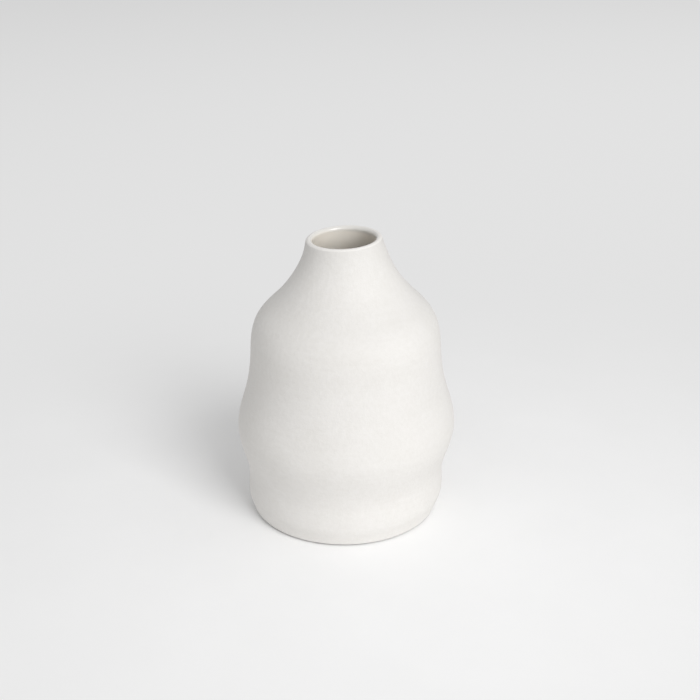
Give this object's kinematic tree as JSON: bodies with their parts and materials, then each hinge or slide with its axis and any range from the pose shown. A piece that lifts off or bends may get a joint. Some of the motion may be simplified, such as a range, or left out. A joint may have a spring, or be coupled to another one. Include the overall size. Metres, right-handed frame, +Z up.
{
  "type": "pillow vase",
  "caption": "Matte white stoneware vase with a soft lobed body that draws in to a small round mouth, glazed inside up to the lip, for a few cut or dried stems.",
  "frame": {"origin": "middle of the foot ring, on the surface that the vase stands on", "axes": "+Z up along the vase's axis of revolution, from the foot to the mouth; X and Y are level, and any direction round the axis is alike"},
  "size_m": [0.1372, 0.1372, 0.18],
  "materials": {
    "bare_stoneware": "matte warm white fired clay, smooth with a fine grain",
    "clear_glaze": "satin gloss warm white glaze"
  },
  "bodies": {
    "root": {"stoneware_body": "bare_stoneware", "glaze_lining": "clear_glaze"}
  },
  "joints": []
}
